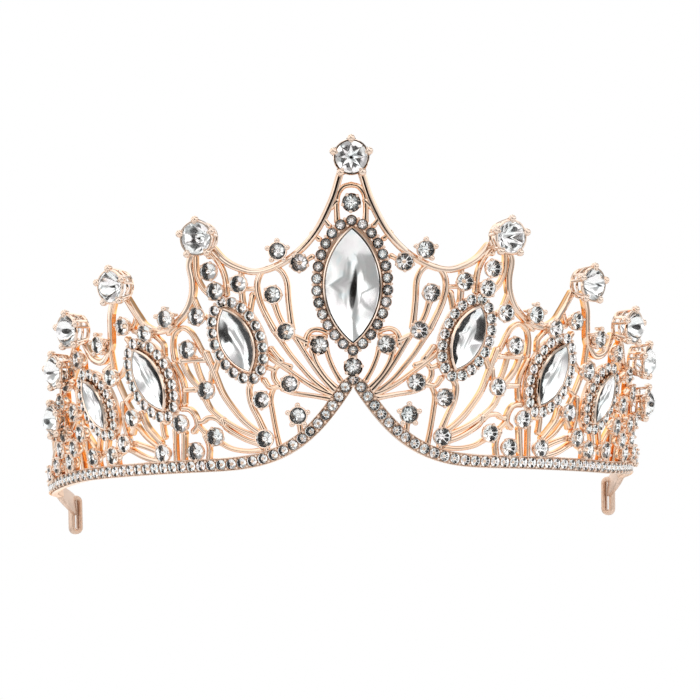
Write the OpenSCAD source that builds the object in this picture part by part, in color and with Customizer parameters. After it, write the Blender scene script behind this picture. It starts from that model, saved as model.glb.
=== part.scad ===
// Bridal tiara: a heart-fronted, C-shaped head band with a wall of cast filigree, seven marquise
// crystals in round-stone halos, eleven claw-set finial crystals and a row of small band crystals.
//
// The wall is a flared cone frustum.  A place on it is [across, up]: across is the arc length in mm
// measured along the foot of the wall from the centre line (+ towards +X), and up is the distance
// in mm up the slope from the foot.  A third value, out, is the distance in mm outwards from it.
// The tiara faces -Y and stands on its two heart lobes and its two end loops at Z = 0.

/* [Head band] */
// Radius of the foot of the wall
band_radius = 77.5; // [72:0.5:84]
// Outward lean of the wall in degrees
wall_flare = 8; // [2:1:14]
// Height of the band's strip
band_height = 3.2; // [2.8:0.1:4]
// Thickness of the band's strip
band_thickness = 1.8; // [1.4:0.1:2.4]
// Arc from the centre line to the end of the stone-set band
band_reach = 122; // [114:1:126]
// Arc from the centre line to the end of the plain tail
tail_reach = 145; // [140:1:148]

/* [Arms] */
// Arc from the centre line to where an arm leaves the front circle
arm_start = 88; // [80:1:96]
// Radius of the tighter arc that follows
arm_radius = 54; // [48:1:77]
// Direction of the straight end of the arm in degrees; 90 points straight back
arm_heading = 94; // [88:0.5:98]

/* [Heart front] */
// Height of the heart's notch above the foot of the wall
notch_height = 21.4; // [16:0.2:26]
// Arc from the centre line to where the band runs level
lobe_reach = 38; // [34:1:42]
// Radius that rounds the tip of the notch
notch_round = 1; // [1:0.1:3]

/* [Crystals] */
// Diameter of the round crystals on the finials
finial_crystal_d = 7.6; // [7:0.2:9]
// Diameter of the round accent crystals
accent_crystal_d = 4; // [3.4:0.1:4.4]
// Diameter of the small crystals in the halos
halo_crystal_d = 2.3; // [2:0.1:2.5]
// Diameter of the small crystals in the band
band_crystal_d = 2.4; // [2:0.1:2.5]
// Distance between two band crystals
band_pitch = 2.65; // [2.6:0.05:3]

/* [Filigree] */
// Width of a filigree wire
wire_width = 1.2; // [0.9:0.1:1.5]
// Depth of a filigree wire
wire_depth = 1.3; // [1:0.1:1.8]
// Width of the crest rail
rail_width = 1.6; // [1.2:0.1:2]
// Depth of the crest rail
rail_depth = 1.9; // [1.4:0.1:2.4]

/* [Standing] */
// How far the end loops reach below the foot of the wall
loop_drop = 8.8; // [5:0.1:10]

/* [Hidden] */
$fn = 48;
GOLD = [0.91, 0.71, 0.61];
CRYSTAL = [0.90, 0.94, 0.96, 0.75];

// Places for one side; the other side is their mirror image.
// Finials: [across, up, out, turn], where turn swings the cup outwards in degrees.
CENTRE_FINIAL = [0, 73.7, 5, 0];
FINIALS = [
    [33.4, 55.9, 5, 0],
    [56.2, 46.3, 5, 0],
    [72.4, 37.2, 5, 0],
    [82.2, 28.6, 4.6, 3],
    [88.5, 16.5, 3.6, 6],
];

// Marquise settings: [across, up, lean, crystal length, crystal width, halo count].
CENTRE_MARQUISE = [0, 43.4, 0, 27, 13, 26];
MARQUISES = [
    [26, 31.2, 21, 16, 7.6, 18],
    [49, 23.1, 26, 16.4, 7.4, 18],
    [67.5, 18.4, 29, 13.8, 6, 16],
];

// Accent crystals in round cups: [across, up].
CENTRE_ACCENTS = [[0, 63], [0, 24.1]];
ACCENTS = [
    [11.3, 49], [7.4, 29.4], [17.3, 41.7], [14.8, 32.8], [14.3, 20.4], [21, 16.8], [20.7, 7.5],
    [31.6, 48], [30.4, 43.2], [24.9, 44.6], [35.3, 37.5], [38.2, 29.7], [34.2, 19.7], [32.7, 8.5],
    [41.5, 12.1], [38, 5.2], [47.2, 5.2], [49.2, 34.4], [55.5, 36.7], [61, 24.7], [55.4, 14.3],
    [58.8, 8.2], [63.3, 5.5], [70.8, 5.7], [72.3, 30], [79, 25], [82.8, 20.5], [77, 17.3],
    [88.3, 13.8], [83.3, 12.8], [75, 11.9], [79, 8.6], [86.2, 9.1], [89.8, 5.6], [81.8, 5.4], [96.4, 4.2],
];

// Accent crystals in five-pointed cups that stand on the crest rail or on the band: [across, up].
STARS = [[15.8, 52], [43, 37.5], [63.7, 33], [12.6, 12.8]];

// Crest rail, as swags from finial to finial: control points [across, up].
SWAGS = [
    [[1.8, 71.6], [2.6, 68.8], [4.2, 63.5], [7.6, 56.4], [11.9, 51.4], [17, 48.3], [21.5, 47.3],
     [25.2, 48.4], [28.4, 50.4], [31, 53.6]],
    [[35.6, 53.2], [36.7, 50], [36.3, 46], [36.7, 42.5], [38.4, 39], [41.8, 36], [45.8, 34.6],
     [49.7, 36], [52, 39], [54.8, 43.6]],
    [[58.6, 43.8], [60.2, 40], [60.8, 36], [61.6, 32], [64.5, 28.8], [68.5, 29.9], [71.2, 34.4]],
    [[74.8, 34.8], [76.6, 31.4], [78, 28.4], [79.8, 27], [81, 26.4]],
    [[83.6, 25.6], [85, 21.8], [86.4, 19.2], [87.8, 17.6]],
    [[89.8, 14.2], [93, 10.4], [97.4, 6.8], [101.4, 3]],
];

// Filigree wires, by panel: control points [across, up].
CENTRE_WIRES = [
    // arch over the top accent
    [[3, 58.6], [3.1, 62], [2.8, 65], [1.6, 66.8], [0, 67.3]],
    // tie between the arch and the rail
    [[3, 63.5], [4.4, 61.9]],
    // ties between the centre halo and the rail
    [[4.8, 57.6], [5.9, 59.2]],
    [[7, 54.5], [8.4, 55.9]],
    [[8.6, 50.4], [11.3, 49], [12.6, 50.5]],
    // tall arch beside the centre halo
    [[13.6, 33.4], [13.9, 36.5], [14.2, 40.5], [14.4, 44.6], [15.6, 47.3], [17.6, 48.2],
     [19.8, 47.3], [21, 45], [21.1, 42.5], [20.4, 39.4], [19.2, 36.4], [17.6, 33]],
    [[17.4, 39.6], [16.6, 36.8], [15.6, 34.4]],
    // scroll over the accent under the halo
    [[10.7, 29.2], [10.5, 31], [9.8, 32.4], [8.5, 33.1], [7, 32.9], [5.8, 32.4]],
    [[14.8, 32.4], [12.4, 31.2], [10.4, 30.2]],
    // fan of wires that runs into the notch
    [[6, 28.6], [5.4, 26.2], [4.3, 23.4], [2.9, 20.8]],
    [[9.2, 28], [8.3, 25.1], [6.4, 21.9], [3.9, 19.1]],
    [[12.8, 31.2], [11.2, 28.3], [9.5, 25.3], [7.2, 21.8], [4.4, 18.4]],
    [[17.4, 32.6], [15.6, 29.6], [13.9, 26.9], [11.8, 24.2], [9, 20.9], [5, 17.5]],
    [[19.6, 27.4], [16.8, 25.1], [14.3, 23.2], [12.5, 21.8], [10, 20], [7.6, 18.6], [5, 17.5]],
    [[16.2, 19.2], [14.4, 18.3], [12.2, 17.8], [9.6, 17.4], [5.4, 16.6]],
    // scroll round the accent below the tall arch
    [[14.4, 24.4], [16.4, 25], [18, 23.8], [18.2, 21.8], [17, 19.8]],
    [[19.6, 24.4], [18, 23.8]],
    // leaf that drops to the band
    [[23, 22], [24.2, 19.8], [24.2, 17.4], [23.6, 15], [22.4, 12.4], [21.2, 9.4]],
    [[18.4, 19.6], [19.2, 17], [18.9, 13.6], [18.3, 9.4], [17.6, 5.4]],
    [[17, 19.8], [19.2, 19.6], [20.6, 21.4]],
    [[16.4, 25.8], [18.6, 28.8]],
    // short ties below the star, the low accent and the halo, and behind the scroll
    [[12.6, 10.6], [12.4, 8.4]],
    [[20.7, 5.8], [20.6, 3.8]],
    [[0.45, 27.6], [0.45, 25.4]],
    [[6.2, 31.3], [9.2, 31.2]],
];
INNER_WIRES = [
    // teardrop under the first finial
    [[35.2, 52.4], [35.3, 49.6], [35.1, 46.8], [33.8, 44], [31.6, 41.6]],
    [[31.6, 52.6], [30, 50.4], [28.9, 48], [28.4, 45.4], [28.4, 42.2]],
    [[31.8, 51.6], [32.4, 53.6]],
    [[28.4, 44.4], [25, 44.6], [24.6, 47.8]],
    [[24.4, 43.4], [21.2, 43.2]],
    [[24.8, 43], [24.6, 39.6]],
    [[22.2, 41.8], [23.2, 37.6]],
    // ties from the rail to the halo
    [[36.6, 41.8], [34.8, 38], [32.4, 36.4]],
    // long sickle from the next arch down to the band
    [[34.4, 28.6], [33.2, 25.6], [32.1, 22.2], [30.9, 18.9], [29.2, 16], [26.8, 12.8],
     [24.4, 10.4], [21.8, 8.4]],
    [[31.4, 26.6], [32.6, 24]],
    // leaf below it
    [[35.6, 18], [34.1, 15], [31.5, 12.6], [28, 10.3], [24.6, 8.7], [21.8, 7.6]],
    [[31.2, 12.4], [30.6, 10.6], [28.2, 8.8], [25.2, 7.2], [22.2, 6.2]],
    [[32.4, 7], [30, 5.6], [27.6, 4.9], [24.8, 4.6], [22, 4.8]],
    [[37.9, 12.2], [36.4, 12.2], [35, 13], [33, 12.8], [31.4, 11.6]],
    [[36, 8.8], [35.2, 6], [35.6, 2.8]],
];
MIDDLE_WIRES = [
    // arch beside the second marquise
    [[42.7, 27.6], [42.8, 31], [42, 33.8], [39.9, 35], [38, 34], [36.7, 32], [35.6, 29.6],
     [34.4, 27.6], [33.6, 26]],
    [[41.6, 35.4], [43.6, 34]],
    // two legs from the arch accent down to the lower accent
    [[40.8, 27.4], [39.6, 24.2], [38, 21.8], [36, 19.8]],
    [[37.4, 27.6], [36.6, 24.2], [35.6, 21.4]],
    [[33.2, 23.8], [33.6, 21.4]],
    [[41, 27], [38, 27], [34.8, 27]],
    [[43, 26.4], [41.2, 23], [40.6, 19.8], [41, 16.8]],
    [[40.6, 20], [37.6, 20]],
    // scroll beside the low accent
    [[41.6, 15.6], [39.6, 15.2], [38.3, 13.6], [37.9, 11.4], [39, 10]],
    [[37.9, 11.4], [36, 9.4]],
    // uprights to the band
    [[44.2, 10.4], [44.4, 6.6], [44.6, 2.8]],
    [[41.6, 9.8], [42, 6.2], [42.4, 2.8]],
    // ties to the crest rail
    [[45.4, 28.8], [45.4, 31.4], [47.4, 33.6]],
    [[52.4, 38.2], [53.6, 36.4], [55.5, 36.7]],
    [[51, 34], [53.4, 35.4]],
    [[51, 32.4], [50, 33.4]],
    [[55.8, 33.6], [54.6, 31.6]],
    // fan from the band accent up to the halo
    [[48.6, 7.6], [50.6, 9.8], [52.4, 12], [53.6, 15.2]],
    [[49, 6.4], [52.6, 9], [55.4, 12.2]],
    [[49.4, 5.4], [53, 6.8], [57, 8]],
    [[49, 3], [54, 4.4], [58.4, 6.6]],
    [[46.4, 12.6], [47.6, 12.4], [47.4, 9]],
];
OUTER_WIRES = [
    [[61.8, 31.6], [61.4, 28], [61, 25], [59.4, 21], [57.2, 16.6], [55.4, 14.3]],
    [[57.2, 26.8], [58.8, 25.2], [60.6, 24.4]],
    [[59.4, 18], [59.6, 13], [58.8, 8.2], [61, 6.4], [63.3, 5.5]],
    [[62.4, 27.4], [64.6, 26.4]],
    [[56.6, 19.6], [58.2, 18.6]],
    [[57.4, 10.6], [56.2, 12.4]],
    [[62.2, 9.8], [63.3, 5.5], [63.4, 2.8]],
    [[66.4, 9.4], [67, 6.6], [66.8, 2.8]],
    [[63.3, 5.5], [67, 6.6], [70.8, 5.7]],
    [[69.4, 10.4], [70.8, 5.7], [70.8, 2.8]],
    [[72.3, 30], [72.4, 27], [71.8, 25.6]],
    [[72.3, 30], [74.8, 32.2]],
    [[72.3, 30], [76, 28], [79, 25], [80, 27]],
    [[79, 25], [76.8, 22.4], [77, 17.3], [75.6, 14.6], [75, 11.9], [72.4, 8.6], [70.8, 5.7]],
    [[79, 25], [82, 23.4], [82.8, 20.5], [87.4, 19.8], [90, 19.4]],
    [[82.8, 20.5], [80.4, 19.4], [77, 17.3]],
    [[82.8, 20.5], [84.2, 16.6], [83.3, 12.8], [80.6, 10.6], [79, 8.6], [78.4, 5.4], [78.4, 2.8]],
    [[77, 17.3], [80, 14.6], [83.3, 12.8], [86.2, 13.8], [88.3, 13.8], [92, 14.8], [94.4, 14.6]],
    [[82.8, 20.5], [87.6, 17.4], [88.3, 13.8], [88.4, 11], [86.2, 9.1], [85.2, 6.6], [81.8, 5.4]],
    [[83.3, 12.8], [85.6, 10.4], [86.2, 9.1], [90.4, 7.4], [89.8, 5.6], [92.6, 2.8]],
    [[88.3, 13.8], [91.8, 10], [89.8, 5.6], [95.8, 5.6], [96.4, 4.2], [99, 2.8]],
    [[94.6, 12.4], [95.4, 9], [96.4, 4.2], [101.4, 6]],
    [[75, 11.9], [77.4, 9.8], [79, 8.6], [81.2, 6.6], [81.8, 5.4], [83.2, 2.8]],
    [[74, 17.6], [75.4, 17.4]],
    [[73.4, 21], [75.2, 22.4]],
    [[86.2, 9.1], [87.8, 5], [87.8, 2.8]],
    [[75, 11.9], [75.2, 6.6], [74.8, 2.8]],
];

// Stone proportions
CROWN = 0.3;
PAVILION = 0.72;
CLAW_D = 1.1;

// Standing: the wall pitches forward until the lobes and the end loops rest on one plane.
LOBE_Y = 72;
LOOP_Y = 22.9;
LEAN_TRIM = 0.207;
pitch = atan((loop_drop * cos(wall_flare) - LEAN_TRIM) / (LOBE_Y + LOOP_Y));
STAND_SHIFT = [0, 36.867, 6.514];

// ---- Places on the wall ----

// The foot of the wall is a circle at the front; each arm then turns in a tighter arc and runs
// straight on.
ARM_TURN = arm_start / band_radius * 180 / PI;
ARM_ARC = (arm_heading - ARM_TURN) * PI / 180 * arm_radius;

// Direction the wall faces, in degrees from straight ahead.
function bearing(across) = let (reach = abs(across)) sign(across) * (reach <= arm_start
    ? reach / band_radius * 180 / PI
    : min(arm_heading, ARM_TURN + (reach - arm_start) / arm_radius * 180 / PI));

function foot(across) = let (
    a = abs(bearing(across)), gap = band_radius - arm_radius,
    far = max(0, abs(across) - arm_start - ARM_ARC))
    abs(across) <= arm_start ? band_radius * [sign(across) * sin(a), -cos(a)] : [
        sign(across) * (gap * sin(ARM_TURN) + arm_radius * sin(a) + far * cos(a)),
        -gap * cos(ARM_TURN) - arm_radius * cos(a) + far * sin(a),
    ];

function wall_point(across, up, out = 0) =
    let (a = bearing(across), push = up * sin(wall_flare) + out * cos(wall_flare), p = foot(across))
    [p.x + push * sin(a), p.y - push * cos(a), up * cos(wall_flare) - out * sin(wall_flare)];

// Children are drawn with +Z outwards and +Y up the slope.
module on_wall(across, up, out = 0, turn = 0)
    translate(wall_point(across, up, out))
        rotate([0, 0, bearing(across) + turn]) rotate([90 + wall_flare, 0, 0]) children();

module standing() translate(STAND_SHIFT) rotate([pitch, 0, 0]) children();

// side is +1 for the right and -1 for the left.
module sided(side) {
    if (side < 0) mirror([1, 0, 0]) children();
    else children();
}

module both_sides() {
    children();
    mirror([1, 0, 0]) children();
}

// ---- Curves ----

function unit(v) = v / norm(v);

// Catmull-Rom curve through the control points, with steps points to each span.
function spline(p, steps) = let (n = len(p)) [
    for (i = [0 : n - 2]) let (
        a = i > 0 ? p[i - 1] : 2 * p[0] - p[1], b = p[i], c = p[i + 1],
        d = i < n - 2 ? p[i + 2] : 2 * p[n - 1] - p[n - 2])
        for (k = [0 : steps - 1]) let (t = k / steps)
            (2 * b + (c - a) * t + (2 * a - 5 * b + 4 * c - d) * t ^ 2
                + (3 * b - a - 3 * c + d) * t ^ 3) / 2,
    p[n - 1],
];

function heading(path, i) =
    unit(path[min(i + 1, len(path) - 1)] - path[max(i - 1, 0)]);

// Sweeps one profile of [sideways, out] points along a path on the wall.
module ribbon(path, profile) loft(path, [for (p = path) profile]);

// The same with a profile for each station.
module loft(path, profiles) {
    n = len(path);
    m = len(profiles[0]);
    points = [
        for (i = [0 : n - 1]) let (t = heading(path, i), side = [-t.y, t.x])
            for (q = profiles[i]) let (p = path[i] + side * q.x) wall_point(p.x, p.y, q.y),
    ];
    sides = [
        for (i = [0 : n - 2], j = [0 : m - 1]) let (k = (j + 1) % m)
            each [[i * m + j, i * m + m + k, i * m + k], [i * m + j, i * m + m + j, i * m + m + k]],
    ];
    first = [for (j = [0 : m - 1]) j];
    last = [for (j = [m - 1 : -1 : 0]) (n - 1) * m + j];
    polyhedron(points, concat(sides, [first, last]), convexity = 6);
}

// Rail profile: rounded front, flat back.
function rail_profile(w, d) = [
    [w / 2, -d / 2], [w / 2, d / 6], [w / 4, d / 2],
    [-w / 4, d / 2], [-w / 2, d / 6], [-w / 2, -d / 2],
];

// Wire profile: narrower in front than at the back.
function wire_profile(w, d) = [[w / 2, -d / 2], [0.32 * w, d / 2], [-0.32 * w, d / 2], [-w / 2, -d / 2]];

// Neighbouring wires differ a little in depth, as cast wires do.
module wire_panel(wires) for (i = [0 : len(wires) - 1]) {
    depth = wire_depth + 0.13 * (i % 3);
    ribbon(spline(wires[i], len(wires[i]) > 2 ? 2 : 1), wire_profile(wire_width, depth));
}

// ---- Band ----

// Height of the band's centre line: level, rising to the notch between the heart's lobes.
function band_line(across) = let (reach = sqrt(across ^ 2 + notch_round ^ 2))
    band_height / 2 + (reach < lobe_reach ? notch_height * (1 - reach / lobe_reach) ^ 3.46 : 0);

// Stations along one half of the band: close together on the heart, wider apart on the level sides.
// The first one is far enough from the tip of the notch for the strip not to fold over itself.
BAND_STATIONS = concat(
    [for (u = [1.7 : 1.1 : lobe_reach - 0.5]) u],
    [for (k = [1 : 20]) lobe_reach + (band_reach - lobe_reach) * k / 20]);

// Arc length along the band's centre line from the centre to each millimetre across.
function band_lengths(across = 0, length = 0, table = []) = across > band_reach ? table :
    band_lengths(across + 0.5,
        length + norm([0.5, band_line(across + 0.5) - band_line(across)]),
        concat(table, [[length, across]]));

// Section of the stone-set strip: a channel between two lips.
function channel(half) = let (back = -band_thickness / 2, lip = 0.48, bed = 0.2) [
    [-half, back], [half, back], [half, -back], [half - lip, -back], [half - lip, bed],
    [lip - half, bed], [lip - half, -back], [-half, -back],
];

// Section of the plain tail: a sheet with eased front edges.
function sheet(half) = let (face = 0.65, ease = 0.2) [
    [-half, -face], [half, -face], [half, face - ease], [half - ease / 3, face - ease / 3],
    [half - ease, face], [ease - half, face], [ease / 3 - half, face - ease / 3], [-half, face - ease],
];

// The band is one strip: its channel closes behind the last crystal, and the plain tail then widens
// downwards to the end loop.
TAIL_DROP = 3.7;
function tail_low(t) = -TAIL_DROP * t ^ 0.7;
function tail_high(t) = band_height - 0.9 * t ^ 2;
module base_band() standing() color(GOLD) {
    steps = 7;
    tail = [for (k = [0 : steps]) max(0.03, k / steps)];
    sides = concat([for (u = BAND_STATIONS) [u, band_line(u)]], [for (t = tail)
        [band_reach + (tail_reach - band_reach) * t, (tail_low(t) + tail_high(t)) / 2]]);
    sections = concat([for (u = BAND_STATIONS) channel(band_height / 2)],
        [for (t = tail) sheet((tail_high(t) - tail_low(t)) / 2)]);
    last = len(sides) - 1;
    loft(
        concat([for (i = [last : -1 : 0]) [-sides[i].x, sides[i].y]], [[0, band_line(0)]], sides),
        concat([for (i = [last : -1 : 0]) sections[i]], [channel(band_height / 2)], sections));
}

// Upright rounded eye at the end of the tail, with a narrow slot for a hair grip or ribbon.
module end_loop(side) standing() sided(side) color(GOLD) {
    tall = 10.6;
    wide = 3.3;
    deep = 2.8;
    slot_tall = 6;
    slot_wide = 0.8;
    inset = -0.5;
    turn = -28;
    on_wall(tail_reach, tall / 2 - loop_drop, inset, turn) rotate([0, 90, 0])
        linear_extrude(deep) difference() {
        eye(tall, wide);
        eye(slot_tall, slot_wide);
    }
}

module eye(tall, wide) {
    square([wide, tall - wide], center = true);
    for (s = [-1, 1]) translate([0, s * (tall - wide) / 2]) circle(d = wide);
}

// ---- Crest rail and filigree ----

module crest_rail() standing() color(GOLD) both_sides() for (s = SWAGS)
    ribbon(spline(s, 2), rail_profile(rail_width, rail_depth));

module filigree_center() standing() color(GOLD) both_sides() wire_panel(CENTRE_WIRES);
module filigree(side, wires) standing() sided(side) color(GOLD) wire_panel(wires);

// ---- Crystals and the cups that hold them ----

// Round brilliant outline: girdle at Z = 0, table up.
module round_crystal(d) rotate_extrude() polygon([
    [0, -PAVILION * d / 2], [d / 2, -0.1], [d / 2, 0.1], [0.29 * d, CROWN * d / 2 + 0.1],
    [0, CROWN * d / 2 + 0.1],
]);

// Cup whose conical seat fits the pavilion.
module round_cup(d) {
    rim = d / 2 + 0.35;
    depth = PAVILION * d / 2 + 0.55;
    rotate_extrude() polygon([
        [0, -depth], [0.72 * rim, -depth], [rim, -0.4 * depth], [rim, 0.1], [d / 2, 0.1],
        [d / 2, -0.1], [0, -PAVILION * d / 2],
    ]);
}

// Outline between two arcs that meet in points.
module vesica(length, width) {
    radius = (length ^ 2 + width ^ 2) / (4 * width);
    intersection_for (s = [-1, 1]) translate([s * (radius - width / 2), 0]) circle(radius, $fn = 180);
}

function vesica_edge(length, width, t) =
    let (radius = (length ^ 2 + width ^ 2) / (4 * width), y = length / 2 * t)
    sqrt(radius ^ 2 - y ^ 2) - radius + width / 2;

// Faceted navette: sixteen-point girdle, wide table, keel below.
module marquise_crystal(length, width) {
    half = 8;
    ring = [
        for (i = [0 : half - 1]) let (t = -cos(180 * i / half)) [vesica_edge(length, width, t), length / 2 * t],
        for (i = [0 : half - 1]) let (t = cos(180 * i / half)) [-vesica_edge(length, width, t), length / 2 * t],
    ];
    n = 2 * half;
    layers = [[0.06, -0.3 * width], [1, -0.15], [1, 0.15], [0.6, 0.17 * width]];
    points = [for (l = layers, p = ring) [p.x * l[0], p.y * (l[0] < 0.1 ? 0.5 : l[0]), l[1]]];
    sides = [
        for (i = [0 : len(layers) - 2], j = [0 : n - 1]) let (k = (j + 1) % n)
            each [[i * n + j, i * n + n + k, i * n + k], [i * n + j, i * n + n + j, i * n + n + k]],
    ];
    bottom = [for (j = [0 : n - 1]) j];
    top = [for (j = [n - 1 : -1 : 0]) (len(layers) - 1) * n + j];
    polyhedron(points, concat(sides, [bottom, top]), convexity = 2);
}

// Halo ring about a marquise: one point of its line at t from -1 (bottom) to 1 (top).
HALO_GAP = 1.95;
function halo_line(m, t, side) = let (fill = m[2] == 0 && t < 0 ? 0.8 : 0.57)
    [side * (m[4] / 2 + HALO_GAP) * (1 - t ^ 2) ^ fill, (m[3] / 2 + HALO_GAP) * t];
function halo_ring(m, steps = 90) = [
    for (i = [0 : steps - 1]) halo_line(m, -cos(180 * i / steps), 1),
    for (i = [0 : steps - 1]) halo_line(m, cos(180 * i / steps), -1),
];
function ring_lengths(ring, i = 0, length = 0, table = []) = i > len(ring) ? table :
    ring_lengths(ring, i + 1, length + norm(ring[(i + 1) % len(ring)] - ring[i % len(ring)]),
        concat(table, [[length, i]]));
function halo_places(m) = let (
    ring = halo_ring(m), table = ring_lengths(ring), total = table[len(ring)][0])
    [for (k = [0 : m[5] - 1]) let (i = lookup(total * k / m[5], table), f = i - floor(i))
        ring[floor(i) % len(ring)] * (1 - f) + ring[(floor(i) + 1) % len(ring)] * f];

MARQUISE_OUT = 2.5;
HALO_OUT = 1.5;

module at_marquise(m, out) on_wall(m.x, m.y, out) rotate([0, 0, -m[2]]) children();

// Bezel wall and back plate for the marquise, joined to a plate that carries the halo cups.
module marquise_setting(m) {
    lip = 0.45;
    at_marquise(m, -0.7) linear_extrude(1.1) difference() {
        polygon([for (p = halo_ring(m, 12)) p]);
        vesica(m[3] - 2, m[4] - 2);
    }
    at_marquise(m, 0.3) linear_extrude(MARQUISE_OUT) difference() {
        vesica(m[3] + 2.4 * lip, m[4] + 2 * lip);
        vesica(m[3] + 0.02, m[4] + 0.02);
    }
    for (p = halo_places(m)) at_marquise(m, HALO_OUT) translate(p) round_cup(halo_crystal_d);
}

module halo_crystals(m)
    for (p = halo_places(m)) at_marquise(m, HALO_OUT) translate(p) round_crystal(halo_crystal_d);

module marquise_at(m) at_marquise(m, MARQUISE_OUT) marquise_crystal(m[3], m[4]);

// Open five-post basket: girdle ring with a lobed claw over each post, and a back ring.
module finial_cup(f) on_wall(f.x, f.y, f[2], f[3]) {
    rim = finial_crystal_d / 2;
    depth = 4.4;
    foot = 0.72;
    rotate_extrude() polygon([[rim, -0.5], [rim + 0.5, -0.5], [rim + 0.5, 0.35], [rim, 0.35]]);
    translate([0, 0, -depth]) rotate_extrude() polygon([
        [0, 0], [foot * rim, 0], [foot * rim, 0.8], [0, 0.8]]);
    for (i = [0 : 4]) rotate([0, 0, 90 + 72 * i]) {
        translate([rim + 0.55, 0, -0.6]) cylinder(h = 1.5, d = 1.9, $fn = 24);
        translate([foot * rim, 0, -depth + 0.2]) rotate([0, 22, 0]) cylinder(h = depth - 0.4, d = 1.1, $fn = 24);
    }
}

// Brilliant with a high crown; its girdle sits in the basket's ring.
module finial_crystal(f) on_wall(f.x, f.y, f[2], f[3]) {
    d = finial_crystal_d;
    rotate_extrude() polygon([
        [0, -0.36 * d], [d / 2, -0.15], [d / 2, 0.15], [0.29 * d, 0.25 * d], [0, 0.27 * d]]);
}

ACCENT_OUT = 2;
STAR_OUT = 2.5;
module accent_cups(side) standing() sided(side) color(GOLD) {
    for (p = ACCENTS) on_wall(p.x, p.y, ACCENT_OUT) round_cup(accent_crystal_d);
    if (side > 0)
        for (p = CENTRE_ACCENTS) on_wall(p.x, p.y, ACCENT_OUT) round_cup(accent_crystal_d);
}

// Cup with five round claws about its rim, like a small star.
module star_cup(p) on_wall(p.x, p.y, STAR_OUT) {
    seat = PAVILION * accent_crystal_d / 2;
    difference() {
        translate([0, 0, -seat - 0.5]) linear_extrude(seat + 0.7) {
            circle(d = accent_crystal_d + 0.8);
            for (i = [0 : 4]) rotate(90 + 72 * i) translate([accent_crystal_d / 2 + 0.45, 0]) circle(d = CLAW_D);
        }
        rotate_extrude() polygon([
            [0, -seat], [accent_crystal_d / 2, -0.1], [accent_crystal_d / 2, 1], [0, 1]]);
    }
}

module accent_crystals(side) standing() sided(side) color(CRYSTAL) {
    for (p = ACCENTS) on_wall(p.x, p.y, ACCENT_OUT) round_crystal(accent_crystal_d);
    for (p = STARS) on_wall(p.x, p.y, STAR_OUT) round_crystal(accent_crystal_d);
    if (side > 0)
        for (p = CENTRE_ACCENTS) on_wall(p.x, p.y, ACCENT_OUT) round_crystal(accent_crystal_d);
}

module band_crystals(side) standing() sided(side) color(CRYSTAL) {
    table = band_lengths();
    count = floor(table[len(table) - 1][0] / band_pitch);
    for (k = [side > 0 ? 0 : 1 : count]) {
        u = lookup(k * band_pitch, table);
        on_wall(u, band_line(u), 1.1) round_crystal(band_crystal_d);
    }
}

module gold_piece(side = 1) standing() sided(side) color(GOLD) children();
module crystal_piece(side = 1) standing() sided(side) color(CRYSTAL) children();

base_band();
crest_rail();
end_loop(-1);  // end_loop_left
end_loop(1);  // end_loop_right
filigree_center();
filigree(-1, INNER_WIRES);  // filigree_left_inner
filigree(-1, MIDDLE_WIRES);  // filigree_left_middle
filigree(-1, OUTER_WIRES);  // filigree_left_outer
filigree(1, INNER_WIRES);  // filigree_right_inner
filigree(1, MIDDLE_WIRES);  // filigree_right_middle
filigree(1, OUTER_WIRES);  // filigree_right_outer
gold_piece() marquise_setting(CENTRE_MARQUISE);  // marquise_setting_center
crystal_piece() marquise_at(CENTRE_MARQUISE);  // marquise_crystal_center
crystal_piece() halo_crystals(CENTRE_MARQUISE);  // halo_crystals_center
gold_piece() finial_cup(CENTRE_FINIAL);  // finial_cup_center
crystal_piece() finial_crystal(CENTRE_FINIAL);  // finial_crystal_center
for (s = [[-1, "left"], [1, "right"]]) {
    for (i = [0 : len(MARQUISES) - 1]) {
        gold_piece(s[0]) marquise_setting(MARQUISES[i]);
        crystal_piece(s[0]) marquise_at(MARQUISES[i]);
    }
    for (i = [0 : len(FINIALS) - 1]) {
        gold_piece(s[0]) finial_cup(FINIALS[i]);
        crystal_piece(s[0]) finial_crystal(FINIALS[i]);
    }
    crystal_piece(s[0]) for (m = MARQUISES) halo_crystals(m);
}
accent_cups(-1);  // accent_cups_left
accent_cups(1);  // accent_cups_right
gold_piece() both_sides() for (p = STARS) star_cup(p);  // star_cups
accent_crystals(-1);  // accent_crystals_left
accent_crystals(1);  // accent_crystals_right
band_crystals(-1);  // band_crystals_left
band_crystals(1);  // band_crystals_right
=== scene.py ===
"""Bridal tiara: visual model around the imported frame.  Lengths are in mm on the wall until place() turns them
into metres in the row's frame."""

import math

import bmesh
import bpy
from mathutils import Matrix, Vector


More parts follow.
